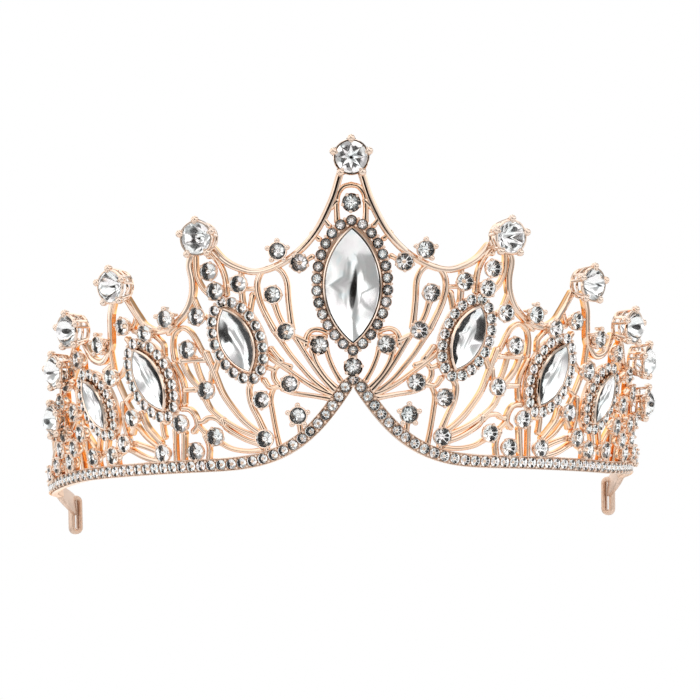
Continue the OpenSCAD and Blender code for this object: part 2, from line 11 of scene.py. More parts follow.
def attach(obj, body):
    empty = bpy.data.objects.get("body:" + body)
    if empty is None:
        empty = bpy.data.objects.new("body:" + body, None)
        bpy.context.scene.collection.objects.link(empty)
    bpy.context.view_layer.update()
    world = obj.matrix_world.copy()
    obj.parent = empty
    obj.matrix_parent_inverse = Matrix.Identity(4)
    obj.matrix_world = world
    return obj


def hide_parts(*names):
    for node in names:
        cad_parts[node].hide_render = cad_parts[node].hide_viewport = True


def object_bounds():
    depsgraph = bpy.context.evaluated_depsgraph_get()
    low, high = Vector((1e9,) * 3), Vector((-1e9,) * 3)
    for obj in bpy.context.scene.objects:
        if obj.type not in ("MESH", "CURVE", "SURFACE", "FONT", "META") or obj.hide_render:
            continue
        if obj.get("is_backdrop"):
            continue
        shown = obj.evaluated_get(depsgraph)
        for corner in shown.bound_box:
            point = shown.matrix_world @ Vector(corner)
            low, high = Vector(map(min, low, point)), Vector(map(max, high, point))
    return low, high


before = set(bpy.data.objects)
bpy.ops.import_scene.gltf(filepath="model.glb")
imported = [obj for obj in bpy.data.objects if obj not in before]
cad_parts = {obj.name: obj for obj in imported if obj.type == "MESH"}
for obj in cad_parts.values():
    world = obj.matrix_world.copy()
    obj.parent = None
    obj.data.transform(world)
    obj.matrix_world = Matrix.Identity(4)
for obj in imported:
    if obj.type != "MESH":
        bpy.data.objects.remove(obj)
cad_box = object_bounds()

# ---- Sizes, as in the CAD source, but BAND_D, HALO_STONE_D and WIRE_DEPTH are a little larger here ----
BAND_RADIUS = 77.5
FLARE = math.radians(8)
BAND_HEIGHT = 3.2
BAND_THICKNESS = 1.8
BAND_REACH = 122
TAIL_REACH = 145
ARM_START = 88
ARM_RADIUS = 54
ARM_HEADING = math.radians(94)
NOTCH_HEIGHT = 21.4
LOBE_REACH = 38
NOTCH_ROUND = 1.0
FINIAL_D = 7.6
ACCENT_D = 4.0
HALO_STONE_D = 2.42
BAND_D = 2.45
BAND_PITCH = 2.65
WIRE_WIDTH = 1.2
WIRE_DEPTH = 1.4
RAIL_WIDTH = 1.6
RAIL_DEPTH = 1.9
LOOP_DROP = 8.8
LEAN_TRIM = 0.207
LOBE_Y = 72
LOOP_Y = 22.9
PITCH = math.atan((LOOP_DROP * math.cos(FLARE) - LEAN_TRIM) / (LOBE_Y + LOOP_Y))
STAND_SHIFT = Vector((0, 36.867, 6.514))
ACCENT_OUT = 2.0
STAR_OUT = 2.5
MARQUISE_OUT = 2.5
HALO_OUT = 1.5
BAND_OUT = 1.1
HALO_GAP = 1.95

# The band has been bent a little out of true by hand: how far the left arm drops (the right one rises as
# much) and how far each arm leans to the left.
DROP = 1.6
LEAN_LEFT = 0.3
LEAN_RIGHT = 2.2
# Where the drop begins and over how many degrees it grows, and where the lean begins and ends along Y.
DROP_FROM = 54
DROP_OVER = 26
LEAN_FROM = -50
LEAN_OVER = 75

# Finials: [across, up, out, turn]
CENTRE_FINIAL = [0, 73.7, 5, 0]
FINIALS = [
    [33.4, 55.9, 5, 0],
    [56.2, 46.3, 5, 0],
    [72.4, 37.2, 5, 0],
    [82.2, 28.6, 4.6, 3],
    [88.5, 16.5, 3.6, 6],
]
# How far each cup was pushed aside by hand: [across, up] on the left, then on the right.
PUSHED = {
    -1: [[-0.7, 0.2], [-0.9, 0.3], [-1.2, 0.2], [-2.6, -0.4], [-3.0, 0.2]],
    1: [[0.6, -0.2], [0.8, -0.3], [1.2, -0.2], [2.0, 0.3], [3.2, 1.6]],
}

# Marquise settings: [across, up, lean, crystal length, crystal width, halo count]
CENTRE_MARQUISE = [0, 43.4, 0, 27, 13, 26]
MARQUISES = [[26, 31.2, 21, 16, 7.6, 18], [49, 23.1, 26, 16.4, 7.4, 18], [67.5, 18.4, 29, 13.8, 6, 16]]

# Accent crystals: [across, up]
CENTRE_ACCENTS = [[0, 63], [0, 24.1]]
ACCENTS = [
    [11.3, 49], [7.4, 29.4], [17.3, 41.7], [14.8, 32.8], [14.3, 20.4], [21, 16.8], [20.7, 7.5],
    [31.6, 48], [30.4, 43.2], [24.9, 44.6], [35.3, 37.5], [38.2, 29.7], [34.2, 19.7], [32.7, 8.5],
    [41.5, 12.1], [38, 5.2], [47.2, 5.2], [49.2, 34.4], [55.5, 36.7], [61, 24.7], [55.4, 14.3],
    [58.8, 8.2], [63.3, 5.5], [70.8, 5.7], [72.3, 30], [79, 25], [82.8, 20.5], [77, 17.3],
    [88.3, 13.8], [83.3, 12.8], [75, 11.9], [79, 8.6], [86.2, 9.1], [89.8, 5.6], [81.8, 5.4], [96.4, 4.2],
]
STARS = [[15.8, 52], [43, 37.5], [63.7, 33], [12.6, 12.8]]

# Crest rail swags and filigree wires: control points [across, up]
SWAGS = [
    [[1.8, 71.6], [2.6, 68.8], [4.2, 63.5], [7.6, 56.4], [11.9, 51.4], [17, 48.3], [21.5, 47.3],
     [25.2, 48.4], [28.4, 50.4], [31, 53.6]],
    [[35.6, 53.2], [36.7, 50], [36.3, 46], [36.7, 42.5], [38.4, 39], [41.8, 36], [45.8, 34.6],
     [49.7, 36], [52, 39], [54.8, 43.6]],
    [[58.6, 43.8], [60.2, 40], [60.8, 36], [61.6, 32], [64.5, 28.8], [68.5, 29.9], [71.2, 34.4]],
    [[74.8, 34.8], [76.6, 31.4], [78, 28.4], [79.8, 27], [81, 26.4]],
    [[83.6, 25.6], [85, 21.8], [86.4, 19.2], [87.8, 17.6]],
    [[89.8, 14.2], [93, 10.4], [97.4, 6.8], [101.4, 3]],
]
CENTRE_WIRES = [
    [[3, 58.6], [3.1, 62], [2.8, 65], [1.6, 66.8], [0, 67.3]],
    [[3, 63.5], [4.4, 61.9]],
    [[4.8, 57.6], [5.9, 59.2]],
    [[7, 54.5], [8.4, 55.9]],
    [[8.6, 50.4], [11.3, 49], [12.6, 50.5]],
    [[13.6, 33.4], [13.9, 36.5], [14.2, 40.5], [14.4, 44.6], [15.6, 47.3], [17.6, 48.2],
     [19.8, 47.3], [21, 45], [21.1, 42.5], [20.4, 39.4], [19.2, 36.4], [17.6, 33]],
    [[17.4, 39.6], [16.6, 36.8], [15.6, 34.4]],
    [[10.7, 29.2], [10.5, 31], [9.8, 32.4], [8.5, 33.1], [7, 32.9], [5.8, 32.4]],
    [[14.8, 32.4], [12.4, 31.2], [10.4, 30.2]],
    [[6, 28.6], [5.4, 26.2], [4.3, 23.4], [2.9, 20.8]],
    [[9.2, 28], [8.3, 25.1], [6.4, 21.9], [3.9, 19.1]],
    [[12.8, 31.2], [11.2, 28.3], [9.5, 25.3], [7.2, 21.8], [4.4, 18.4]],
    [[17.4, 32.6], [15.6, 29.6], [13.9, 26.9], [11.8, 24.2], [9, 20.9], [5, 17.5]],
    [[19.6, 27.4], [16.8, 25.1], [14.3, 23.2], [12.5, 21.8], [10, 20], [7.6, 18.6], [5, 17.5]],
    [[16.2, 19.2], [14.4, 18.3], [12.2, 17.8], [9.6, 17.4], [5.4, 16.6]],
    [[14.4, 24.4], [16.4, 25], [18, 23.8], [18.2, 21.8], [17, 19.8]],
    [[19.6, 24.4], [18, 23.8]],
    [[23, 22], [24.2, 19.8], [24.2, 17.4], [23.6, 15], [22.4, 12.4], [21.2, 9.4]],
    [[18.4, 19.6], [19.2, 17], [18.9, 13.6], [18.3, 9.4], [17.6, 5.4]],
    [[17, 19.8], [19.2, 19.6], [20.6, 21.4]],
    [[16.4, 25.8], [18.6, 28.8]],
    [[12.6, 10.6], [12.4, 8.4]],
    [[20.7, 5.8], [20.6, 3.8]],
    [[0.45, 27.6], [0.45, 25.4]],
    [[6.2, 31.3], [9.2, 31.2]],
]
INNER_WIRES = [
    [[35.2, 52.4], [35.3, 49.6], [35.1, 46.8], [33.8, 44], [31.6, 41.6]],
    [[31.6, 52.6], [30, 50.4], [28.9, 48], [28.4, 45.4], [28.4, 42.2]],
    [[31.8, 51.6], [32.4, 53.6]],
    [[28.4, 44.4], [25, 44.6], [24.6, 47.8]],
    [[24.4, 43.4], [21.2, 43.2]],
    [[24.8, 43], [24.6, 39.6]],
    [[22.2, 41.8], [23.2, 37.6]],
    [[36.6, 41.8], [34.8, 38], [32.4, 36.4]],
    [[34.4, 28.6], [33.2, 25.6], [32.1, 22.2], [30.9, 18.9], [29.2, 16], [26.8, 12.8],
     [24.4, 10.4], [21.8, 8.4]],
    [[31.4, 26.6], [32.6, 24]],
    [[35.6, 18], [34.1, 15], [31.5, 12.6], [28, 10.3], [24.6, 8.7], [21.8, 7.6]],
    [[31.2, 12.4], [30.6, 10.6], [28.2, 8.8], [25.2, 7.2], [22.2, 6.2]],
    [[32.4, 7], [30, 5.6], [27.6, 4.9], [24.8, 4.6], [22, 4.8]],
    [[37.9, 12.2], [36.4, 12.2], [35, 13], [33, 12.8], [31.4, 11.6]],
    [[36, 8.8], [35.2, 6], [35.6, 2.8]],
]
MIDDLE_WIRES = [
    [[42.7, 27.6], [42.8, 31], [42, 33.8], [39.9, 35], [38, 34], [36.7, 32], [35.6, 29.6],
     [34.4, 27.6], [33.6, 26]],
    [[41.6, 35.4], [43.6, 34]],
    [[40.8, 27.4], [39.6, 24.2], [38, 21.8], [36, 19.8]],
    [[37.4, 27.6], [36.6, 24.2], [35.6, 21.4]],
    [[33.2, 23.8], [33.6, 21.4]],
    [[41, 27], [38, 27], [34.8, 27]],
    [[43, 26.4], [41.2, 23], [40.6, 19.8], [41, 16.8]],
    [[40.6, 20], [37.6, 20]],
    [[41.6, 15.6], [39.6, 15.2], [38.3, 13.6], [37.9, 11.4], [39, 10]],
    [[37.9, 11.4], [36, 9.4]],
    [[44.2, 10.4], [44.4, 6.6], [44.6, 2.8]],
    [[41.6, 9.8], [42, 6.2], [42.4, 2.8]],
    [[45.4, 28.8], [45.4, 31.4], [47.4, 33.6]],
    [[52.4, 38.2], [53.6, 36.4], [55.5, 36.7]],
    [[51, 34], [53.4, 35.4]],
    [[51, 32.4], [50, 33.4]],
    [[55.8, 33.6], [54.6, 31.6]],
    [[48.6, 7.6], [50.6, 9.8], [52.4, 12], [53.6, 15.2]],
    [[49, 6.4], [52.6, 9], [55.4, 12.2]],
    [[49.4, 5.4], [53, 6.8], [57, 8]],
    [[49, 3], [54, 4.4], [58.4, 6.6]],
    [[46.4, 12.6], [47.6, 12.4], [47.4, 9]],
]
OUTER_WIRES = [
    [[61.8, 31.6], [61.4, 28], [61, 25], [59.4, 21], [57.2, 16.6], [55.4, 14.3]],
    [[57.2, 26.8], [58.8, 25.2], [60.6, 24.4]],
    [[59.4, 18], [59.6, 13], [58.8, 8.2], [61, 6.4], [63.3, 5.5]],
    [[62.4, 27.4], [64.6, 26.4]],
    [[56.6, 19.6], [58.2, 18.6]],
    [[57.4, 10.6], [56.2, 12.4]],
    [[62.2, 9.8], [63.3, 5.5], [63.4, 2.8]],
    [[66.4, 9.4], [67, 6.6], [66.8, 2.8]],
    [[63.3, 5.5], [67, 6.6], [70.8, 5.7]],
    [[69.4, 10.4], [70.8, 5.7], [70.8, 2.8]],
    [[72.3, 30], [72.4, 27], [71.8, 25.6]],
    [[72.3, 30], [74.8, 32.2]],
    [[72.3, 30], [76, 28], [79, 25], [80, 27]],
    [[79, 25], [76.8, 22.4], [77, 17.3], [75.6, 14.6], [75, 11.9], [72.4, 8.6], [70.8, 5.7]],
    [[79, 25], [82, 23.4], [82.8, 20.5], [87.4, 19.8], [90, 19.4]],
    [[82.8, 20.5], [80.4, 19.4], [77, 17.3]],
    [[82.8, 20.5], [84.2, 16.6], [83.3, 12.8], [80.6, 10.6], [79, 8.6], [78.4, 5.4], [78.4, 2.8]],
    [[77, 17.3], [80, 14.6], [83.3, 12.8], [86.2, 13.8], [88.3, 13.8], [92, 14.8], [94.4, 14.6]],
    [[82.8, 20.5], [87.6, 17.4], [88.3, 13.8], [88.4, 11], [86.2, 9.1], [85.2, 6.6], [81.8, 5.4]],
    [[83.3, 12.8], [85.6, 10.4], [86.2, 9.1], [90.4, 7.4], [89.8, 5.6], [92.6, 2.8]],
    [[88.3, 13.8], [91.8, 10], [89.8, 5.6], [95.8, 5.6], [96.4, 4.2], [99, 2.8]],
    [[94.6, 12.4], [95.4, 9], [96.4, 4.2], [101.4, 6]],
    [[75, 11.9], [77.4, 9.8], [79, 8.6], [81.2, 6.6], [81.8, 5.4], [83.2, 2.8]],
    [[74, 17.6], [75.4, 17.4]],
    [[73.4, 21], [75.2, 22.4]],
    [[86.2, 9.1], [87.8, 5], [87.8, 2.8]],
    [[75, 11.9], [75.2, 6.6], [74.8, 2.8]],
]


# Material slots of a metal piece and of a stone.
POLISHED, SATIN, BRUSHED = 0, 1, 2
GLASS, FOIL = 0, 1


# ---- Places on the wall ----
def bearing(across):
    """Direction the wall faces, in radians from straight ahead."""
    reach = abs(across)
    angle = reach / BAND_RADIUS
    if reach > ARM_START:
        angle = min(ARM_HEADING, ARM_START / BAND_RADIUS + (reach - ARM_START) / ARM_RADIUS)
    return math.copysign(angle, across)


def wall_point(across, up, out=0.0):
    """The foot of the wall is a circle; each arm then turns in a tighter arc and runs straight back."""
    angle = abs(bearing(across))
    x = BAND_RADIUS * math.sin(angle)
    y = -BAND_RADIUS * math.cos(angle)
    if abs(across) > ARM_START:
        turn = ARM_START / BAND_RADIUS
        far = max(0.0, abs(across) - ARM_START - (ARM_HEADING - turn) * ARM_RADIUS)
        gap = BAND_RADIUS - ARM_RADIUS
        x = gap * math.sin(turn) + ARM_RADIUS * math.sin(angle) + far * math.cos(angle)
        y = -gap * math.cos(turn) - ARM_RADIUS * math.cos(angle) + far * math.sin(angle)
    push = up * math.sin(FLARE) + out * math.cos(FLARE)
    x = math.copysign(x + push * math.sin(angle), across)
    return Vector((x, y - push * math.cos(angle), up * math.cos(FLARE) - out * math.sin(FLARE)))


def seat(across, up, out=0.0, turn=0.0, spin=0.0, tip=0.0):
    """Matrix whose +Z is outwards and +Y up the slope; spin and tip are in degrees."""
    m = Matrix.Translation(wall_point(across, up, out))
    m = m @ Matrix.Rotation(bearing(across) + math.radians(turn), 4, "Z")
    m = m @ Matrix.Rotation(math.pi / 2 + FLARE, 4, "X")
    m = m @ Matrix.Rotation(math.radians(tip), 4, "X")
    return m @ Matrix.Rotation(math.radians(spin), 4, "Z")


STAND = Matrix.Translation(STAND_SHIFT) @ Matrix.Rotation(PITCH, 4, "X")


def ease(t):
    """Smooth step from 0 to 1."""
    t = min(1.0, max(0.0, t))
    return t * t * (3 - 2 * t)


def place(v):
    """From the wall's millimetres to the row's metres, with the band's small bends."""
    angle = math.degrees(math.atan2(abs(v.x), -v.y))
    rise = DROP * ease((angle - DROP_FROM) / DROP_OVER) * min(1.0, max(-1.0, v.x / 20))
    lean = (LEAN_RIGHT if v.x > 0 else LEAN_LEFT) * math.sin(math.pi * ease((v.y - LEAN_FROM) / LEAN_OVER))
    return (STAND @ Vector((v.x - lean, v.y, v.z + rise))) / 1000


def depth_of(v):
    """How far out of the wall a point is."""
    return (math.hypot(v.x, v.y) - BAND_RADIUS) * math.cos(FLARE) - v.z * math.sin(FLARE)


def chance(i, k=0):
    """A repeatable number from 0 to 1 that makes like pieces differ a little."""
    return math.sin(i * 12.9898 + k * 78.233 + 1.7) * 43758.5453 % 1.0


# ---- Mesh building ----
class Build:
    """Collects faces in wall millimetres; side is +1, or -1 for a mirrored copy."""

    def __init__(self):
        self.points = []
        self.faces = []
        self.marks = []
        self.side = 1

    def add(self, points, faces, mat=POLISHED, smooth=True):
        """Adds points and the faces between them; returns the number of the first point."""
        start = len(self.points)
        for p in points:
            self.points.append(Vector((p.x * self.side, p.y, p.z)))
        self.join(start, faces, mat, smooth)
        return start

    def join(self, start, faces, mat, smooth):
        """Adds faces between points that are there already."""
        for f in faces:
            order = f if self.side > 0 else tuple(reversed(f))
            self.faces.append(tuple(start + i for i in order))
            self.marks.append((mat, smooth))

    def make(self, name, materials, nodes):
        """Turns the collected faces into one piece that stands for the given nodes."""
        mesh = bpy.data.meshes.new(name)
        mesh.from_pydata([place(p) for p in self.points], [], self.faces)
        for m in materials:
            mesh.materials.append(m)
        for poly, (mat, smooth) in zip(mesh.polygons, self.marks):
            poly.material_index = mat
            poly.use_smooth = smooth
        # The "deep" point attribute is a painted reflection mask: 0.5 at the wall's face, 0 from 1 mm out and 1
        # from 1 mm behind it. The gold materials turn it into the deep orange of light bounced between the
        # metal parts.
        deep = mesh.attributes.new("deep", "FLOAT", "POINT")
        deep.data.foreach_set("value", [min(1.0, max(0.0, 0.50 - 0.5 * depth_of(p))) for p in self.points])
        work = bmesh.new()
        work.from_mesh(mesh)
        bmesh.ops.recalc_face_normals(work, faces=work.faces)
        work.to_mesh(mesh)
        work.free()
        mesh.set_sharp_from_angle(angle=math.radians(42))
        piece = bpy.data.objects.new(name, mesh)
        bpy.context.scene.collection.objects.link(piece)
        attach(piece, "root")
        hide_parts(*nodes)


def lathe(b, m, outline, seg=20):
    """Turns an outline of (radius, z) about the seat's axis; a radius of 0 closes it."""
    points = []
    rings = []
    for r, z in outline:
        if r < 1e-6:
            rings.append([len(points)])
            points.append(m @ Vector((0, 0, z)))
            continue
        ring = []
        for k in range(seg):
            a = 2 * math.pi * k / seg
            ring.append(len(points))
            points.append(m @ Vector((r * math.cos(a), r * math.sin(a), z)))
        rings.append(ring)
    faces = []
    for low, high in zip(rings, rings[1:]):
        for k in range(seg):
            j = (k + 1) % seg
            if len(low) == 1:
                faces.append((low[0], high[j], high[k]))
            elif len(high) == 1:
                faces.append((low[k], low[j], high[0]))
            else:
                faces.append((low[k], low[j], high[j], high[k]))
    b.add(points, faces)


def ball(b, m, radius, stretch):
    """Small bead, stretched along the seat's axis."""
    seg = 8
    outline = []
    rings = seg // 2 + 1
    for i in range(rings + 1):
        a = math.pi * i / rings - math.pi / 2
        outline.append((radius * math.cos(a) if 0 < i < rings else 0.0, radius * stretch * math.sin(a)))
    lathe(b, m, outline, seg)


def spline(points, steps):
    """Catmull-Rom curve through the control points."""
    p = [Vector(q) for q in points]
    n = len(p)
    if n == 2:
        return [p[0].lerp(p[1], k / steps) for k in range(steps + 1)]
    curve = []
    for i in range(n - 1):
        a = p[i - 1] if i > 0 else 2 * p[0] - p[1]
        c = p[i + 1]
        d = p[i + 2] if i < n - 2 else 2 * p[n - 1] - p[n - 2]
        for k in range(steps):
            t = k / steps
            curve.append((2 * p[i] + (c - a) * t + (2 * a - 5 * p[i] + 4 * c - d) * t ** 2
                          + (3 * p[i] - a - 3 * c + d) * t ** 3) / 2)
    curve.append(p[-1])
    return curve


def sweep(b, path, profile, put, closed=False, widths=None, depths=None, mat=POLISHED, tips=False):
    """Carries a profile of (side, out) points along a path; put(x, y, out) gives the wall's point.

    With tips, two smaller stations round off each end.
    """
    n = len(path)
    widths = widths or [1.0] * n
    depths = depths or [1.0] * n
    stations = []
    for i in range(n):
        before = path[(i - 1) % n] if closed or i > 0 else path[0]
        after = path[(i + 1) % n] if closed or i < n - 1 else path[-1]
        t = (after - before).normalized()
        stations.append((path[i], t, widths[i], depths[i]))
    if tips:
        half = max(q[0] for q in profile)
        rounding = ((0.5, 0.84, 0.92), (0.9, 0.45, 0.72))
        p, t, w, d = stations[0]
        for far, narrow, thin in rounding:
            stations.insert(0, (p - t * half * w * far, t, narrow * w, thin * d))
        p, t, w, d = stations[-1]
        for far, narrow, thin in rounding:
            stations.append((p + t * half * w * far, t, narrow * w, thin * d))
    m = len(profile)
    points = []
    for p, t, w, d in stations:
        side = Vector((-t.y, t.x))
        for x, out in profile:
            points.append(put(p.x + side.x * x * w, p.y + side.y * x * w, out * d))
    count = len(stations)
    faces = []
    for i in range(count if closed else count - 1):
        j = (i + 1) % count
        for k in range(m):
            q = (k + 1) % m
            faces.append((i * m + k, j * m + k, j * m + q, i * m + q))
    if not closed:
        faces.append(tuple(reversed(range(m))))
        faces.append(tuple((count - 1) * m + k for k in range(m)))
    b.add(points, faces, mat)


def half_round(width, depth, steps, nose):
    """Wire profile: rounded front on straight flanks, flat back with eased corners.

    nose is the height of the rounded front as a part of the width.
    """
    shoulder = depth / 2 - nose * width
    profile = [(width * 0.36, -depth / 2), (width / 2, -depth / 2 + width * 0.14)]
    for k in range(steps + 1):
        a = math.pi * k / steps
        profile.append((width / 2 * math.cos(a), shoulder + nose * width * math.sin(a)))
    profile += [(-width / 2, -depth / 2 + width * 0.14), (-width * 0.36, -depth / 2)]
    return profile


# ---- Stones ----
def brilliant(b, m, d, pavilion, table=0.54, crown=0.11):
    """Foil-backed brilliant: the crown is glass and the pavilion's facets are mirrored.

    table, crown and pavilion are parts of the diameter: the table's width and the two heights.
    """
    r = d / 2
    rt = r * table
    rs = r * (0.5 + 0.5 * table) * 0.98
    g = 0.02 * d
    hc = crown * d
    shoulder = g + (hc - g) * (r - rs * math.cos(math.pi / 8)) / (r - rt)
    rl = 0.3 * r
    deep = -pavilion * d
    low = deep + (-g - deep) * rl * math.cos(math.pi / 8) / r

    def ring(count, radius, z, turn=0.0):
        return [Vector((radius * math.cos(2 * math.pi * k / count + turn),
                        radius * math.sin(2 * math.pi * k / count + turn), z)) for k in range(count)]

    points = ring(8, rt, hc) + ring(8, rs, shoulder, math.pi / 8) + ring(16, r, g) + ring(16, r, -g)
    points += ring(8, rl, low, math.pi / 8) + [Vector((0, 0, deep))]
    top = [tuple(range(8))]
    back = []
    for i in range(8):
        j = (i + 1) % 8
        h = (i - 1) % 8
        top.append((i, 8 + i, j))
        top.append((i, 8 + h, 16 + 2 * i, 8 + i))
        top.append((8 + i, 16 + 2 * i, 17 + 2 * i))
        top.append((8 + i, 17 + 2 * i, 16 + 2 * j))
        back.append((56, 48 + i, 32 + 2 * i, 48 + h))
        back.append((48 + i, 33 + 2 * i, 32 + 2 * i))
        back.append((48 + i, 32 + 2 * j, 33 + 2 * i))
    for k in range(16):
        j = (k + 1) % 16
        top.append((16 + k, 32 + k, 32 + j, 16 + j))
    start = b.add([m @ p for p in points], top, GLASS, False)
    b.join(start, back, FOIL, False)


def vesica_edge(length, width, t):
    """Half the width between two arcs that meet in points, at t from -1 (foot) to 1 (head)."""
    radius = (length ** 2 + width ** 2) / (4 * width)
    y = length / 2 * t
    return math.sqrt(radius ** 2 - y ** 2) - radius + width / 2


def vesica_path(length, width, half):
    """Closed outline of two arcs that meet in points, anticlockwise from the foot."""
    side = []
    for i in range(half):
        t = -math.cos(math.pi * i / half)
        side.append(Vector((vesica_edge(length, width, t), t * length / 2)))
    return side + [-p for p in side]


def navette(b, m, length, width):
    """Foil-backed navette: broad table, long crown facets, a keeled and faceted back."""
    half = 6
    n = 2 * half
    outer = vesica_path(length, width, half)
    crown = 0.065 * width
    slope = math.tan(math.radians(11))
    rim = 0.025 * width
    points = [Vector((0.50 * p.x, 0.62 * p.y, crown)) for p in outer]
    for i in range(n):
        mid = (outer[i] + outer[(i + 1) % n]) / 2
        points.append(Vector((0.78 * mid.x, 0.84 * mid.y, crown * 0.62)))
    points += [Vector((p.x, p.y, rim)) for p in outer]
    points += [Vector((p.x, p.y, -rim)) for p in outer]
    for i in range(n):
        mid = (outer[i] + outer[(i + 1) % n]) / 2
        wave = 0.1 if i % 2 else -0.1
        x = (0.45 + 0.5 * wave) * mid.x
        y = (0.62 - 0.6 * wave) * mid.y
        fall = vesica_edge(length, width, 2 * y / length) - abs(x)
        points.append(Vector((x, y, -rim - slope * fall * (1.0 + wave))))
    # The keel has two ends and, between them, a pair of points that leave a flat shard beside the middle.
    keel = len(points)
    end = -rim - slope * vesica_edge(length, width, 0.6)
    mid = slope * width / 2
    points += [Vector((0, -0.3 * length, end)), Vector((0.15 * width, -0.05 * length, -rim - 0.84 * mid)),
               Vector((0, 0.3 * length, end)), Vector((0.01 * width, 0.03 * length, -rim - mid))]
    ridge = []
    for p in outer:
        if abs(p.y) > 0.2 * length:
            ridge.append(keel + (0 if p.y < 0 else 2))
        else:
            ridge.append(keel + (1 if p.x > 0 else 3))
    top = [tuple(range(n))]
    under = [(keel, keel + 1, keel + 3), (keel + 3, keel + 1, keel + 2)]
    for i in range(n):
        j = (i + 1) % n
        top.append((i, n + i, j))
        top.append((i, 2 * n + i, n + i))
        top.append((j, n + i, 2 * n + j))
        top.append((n + i, 2 * n + i, 2 * n + j))
        top.append((2 * n + i, 3 * n + i, 3 * n + j, 2 * n + j))
        under.append((3 * n + j, 3 * n + i, 4 * n + i))
        under.append((3 * n + i, 4 * n + (i - 1) % n, ridge[i], 4 * n + i))
        if ridge[i] != ridge[j]:
            under.append((4 * n + i, ridge[i], ridge[j]))
    start = b.add([m @ p for p in points], top, GLASS, False)
    b.join(start, under, FOIL, False)


# ---- Metal parts ----
def around(m, k, radius, z, start=math.pi / 2):
    """Seat of the k-th of five places on a circle about a seat."""
    a = start + 2 * math.pi * k / 5
    return m @ Matrix.Translation((math.cos(a) * radius, math.sin(a) * radius, z))


def cup(b, m, d, tall, wall=0.3, seg=20):
    """Round cup with a rounded rim."""
    r = d / 2
    rim = r + wall
    deep = 0.45 * d + 0.35
    outline = [(0, -deep), (0.6 * rim, -deep), (0.7 * rim, -deep + 0.15), (0.96 * rim, -0.45 * deep),
               (rim, -0.1), (rim, tall - 0.1), (rim - 0.08, tall), (r + 0.03, tall), (r + 0.02, -0.04 * d),
               (0.3 * r, -0.38 * d), (0, -0.46 * d)]
    lathe(b, m, outline, seg)


def clawed_cup(b, m, d, start):
    """Cup with five small bent claws."""
    tall = 0.18
    cup(b, m, d, tall)
    for k in range(5):
        ball(b, around(m, k, d / 2 + 0.14, tall - 0.06, start), 0.44, 1.4)


def star_cup(b, place_on_wall):
    """Cup with five bead-topped posts about its rim."""
    m = seat(place_on_wall[0], place_on_wall[1], STAR_OUT)
    d = ACCENT_D
    cup(b, m, d, 0.12)
    post = [(0, -1.9), (0.36, -1.9), (0.5, -0.9), (0.62, -0.25), (0.66, 0.1), (0.6, 0.38), (0.4, 0.58),
            (0.18, 0.66), (0, 0.68)]
    for k in range(5):
        lathe(b, around(m, k, d / 2 + 0.5, 0), post, 12)


def basket(b, m, d):
    """Open finial basket: front ring, gallery and back ring tied by five thick ribs with rounded heads."""
    r = d / 2
    rings = ((r + 0.2, -0.2, 0.34, 0.46), (r - 0.15, -2.3, 0.34, 0.34), (r - 0.55, -4.3, 0.6, 0.46))
    for radius, z, thick, high in rings:
        outline = []
        for k in range(8):
            a = 2 * math.pi * k / 8 + math.pi / 8
            outline.append((radius + thick * math.cos(a), z + high * math.sin(a)))
        lathe(b, m, outline + outline[:1], 30)
    head = [(0, -1.15), (0.6, -1.1), (0.86, -0.6), (0.95, -0.05), (0.9, 0.35), (0.66, 0.7), (0.34, 0.86),
            (0, 0.92)]
    for k in range(5):
        for aside in (-0.882, 0.882):
            rib(b, m, r, math.pi / 2 + 2 * math.pi * k / 5, aside)
        lathe(b, around(m, k, r + 0.64, 0), head, 16)
        ball(b, around(m, k, r - 0.12, 0.36), 0.46, 0.8)


def rib(b, m, r, a, aside):
    """Round bar up the side of a basket at the angle a, set aside by some millimetres."""
    seg = 8
    stations = ((r - 0.45, -4.45, 0.42), (r - 0.1, -3.4, 0.38), (r + 0.15, -2.2, 0.36), (r + 0.5, -0.4, 0.34))
    points = []
    for radius, z, thick in stations:
        c = math.cos(a + aside / (radius + 0.6))
        s = math.sin(a + aside / (radius + 0.6))
        for q in range(seg):
            w = 2 * math.pi * q / seg
            far = radius + thick * math.cos(w)
            near = thick * math.sin(w)
            points.append(m @ Vector((c * far - s * near, s * far + c * near, z)))
    faces = []
    for low in range(0, len(points) - seg, seg):
        for q in range(seg):
            t = (q + 1) % seg
            faces.append((low + q, low + t, low + seg + t, low + seg + q))
    faces.append(tuple(reversed(range(seg))))
    faces.append(tuple(range(len(points) - seg, len(points))))
    b.add(points, faces)


def halo_line(q, t, side):
    """Point of a halo's line at t from -1 (foot) to 1 (head), from the middle of its marquise."""
    fill = 0.8 if q[2] == 0 and t < 0 else 0.57
    return Vector((side * (q[4] / 2 + HALO_GAP) * (1 - t * t) ** fill, (q[3] / 2 + HALO_GAP) * t))


def halo_ring(q, steps=90):
    """The halo's closed line, anticlockwise from the foot."""
    right = [halo_line(q, -math.cos(math.pi * i / steps), 1) for i in range(steps)]
    left = [halo_line(q, math.cos(math.pi * i / steps), -1) for i in range(steps)]
    return right + left


def halo_places(q):
    """Evenly spaced places along the halo's closed line."""
    ring = halo_ring(q)
    lengths = [0.0]
    for i in range(len(ring)):
        lengths.append(lengths[-1] + (ring[(i + 1) % len(ring)] - ring[i]).length)
    places = []
    for k in range(q[5]):
        goal = lengths[-1] * k / q[5]
        i = max(j for j in range(len(ring)) if lengths[j] <= goal)
        f = (goal - lengths[i]) / (lengths[i + 1] - lengths[i])
        places.append(ring[i].lerp(ring[(i + 1) % len(ring)], f))
    return places


def marquise_seat(q, out):
    return seat(q[0], q[1], out, spin=-q[2])


